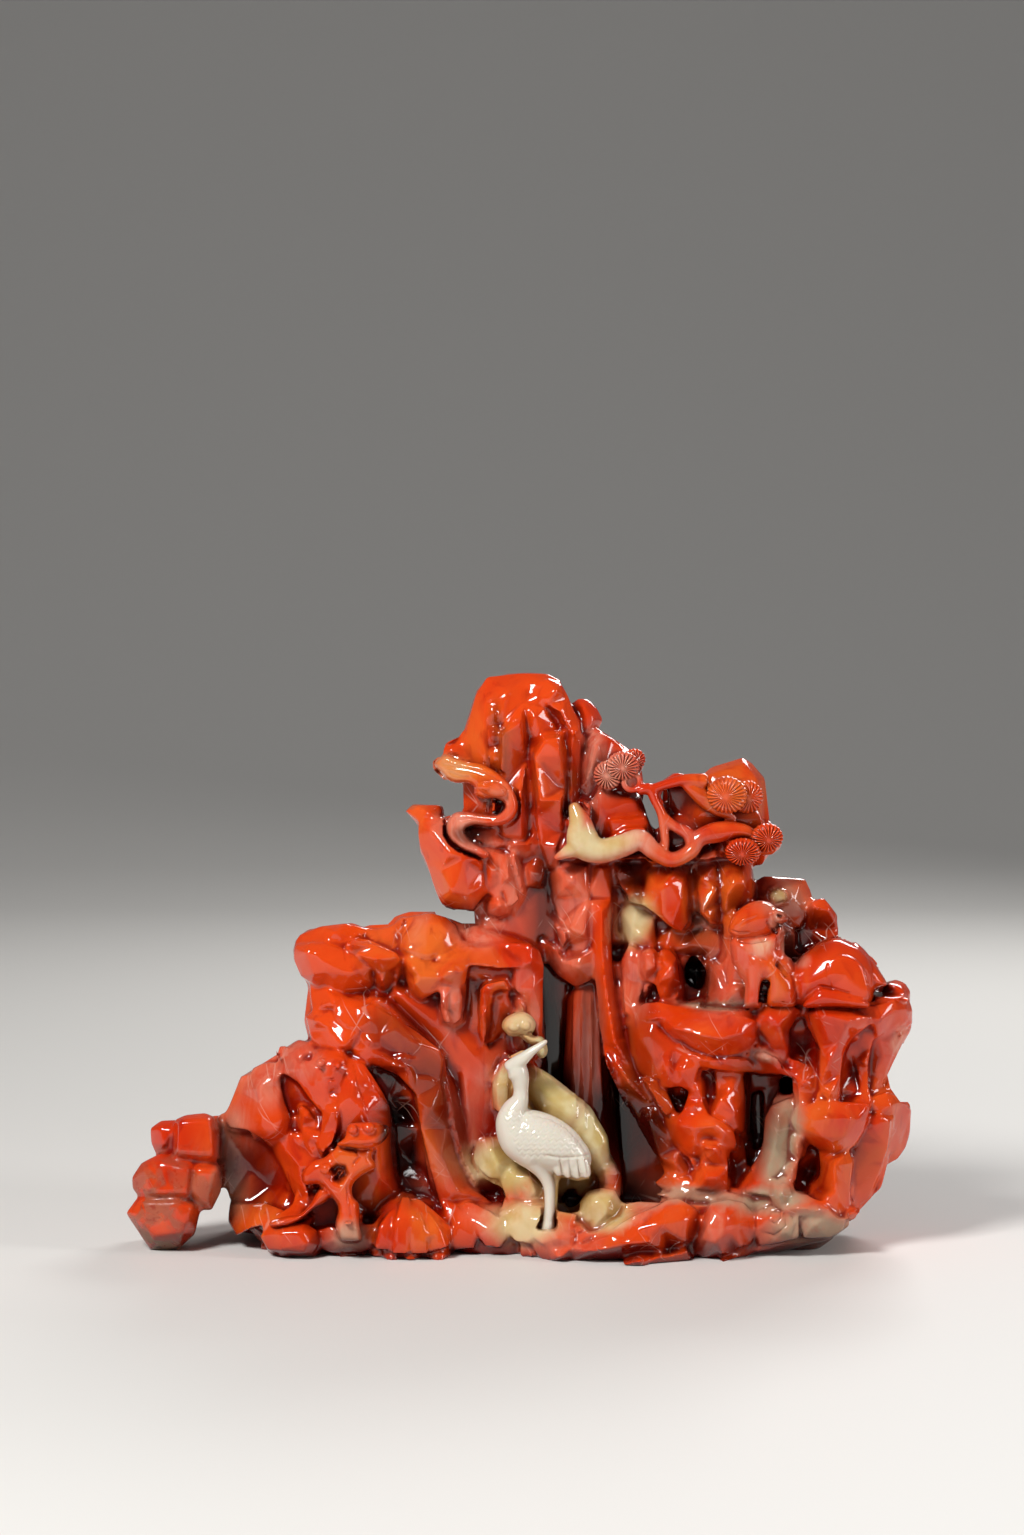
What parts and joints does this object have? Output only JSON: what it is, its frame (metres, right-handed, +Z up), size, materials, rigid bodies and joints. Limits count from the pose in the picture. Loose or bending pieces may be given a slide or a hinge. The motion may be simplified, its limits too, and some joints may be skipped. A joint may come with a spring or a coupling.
{
  "type": "agate animal group carving",
  "caption": "Miniature mountain carved in red agate, with a crane, a resting deer, an old pine, a scrolling cloud and fungus sprays, for display on a table.",
  "frame": {"origin": "middle of the base, on the surface that the carving stands on", "axes": "+Z up, the carved front towards -Y, +X to the right as seen from the front, along the longest side"},
  "size_m": [0.197, 0.076, 0.144],
  "materials": {
    "agate": "hand polished red agate with milky and yellow veins"
  },
  "bodies": {
    "root": {"agate_carving": "agate"}
  },
  "joints": []
}
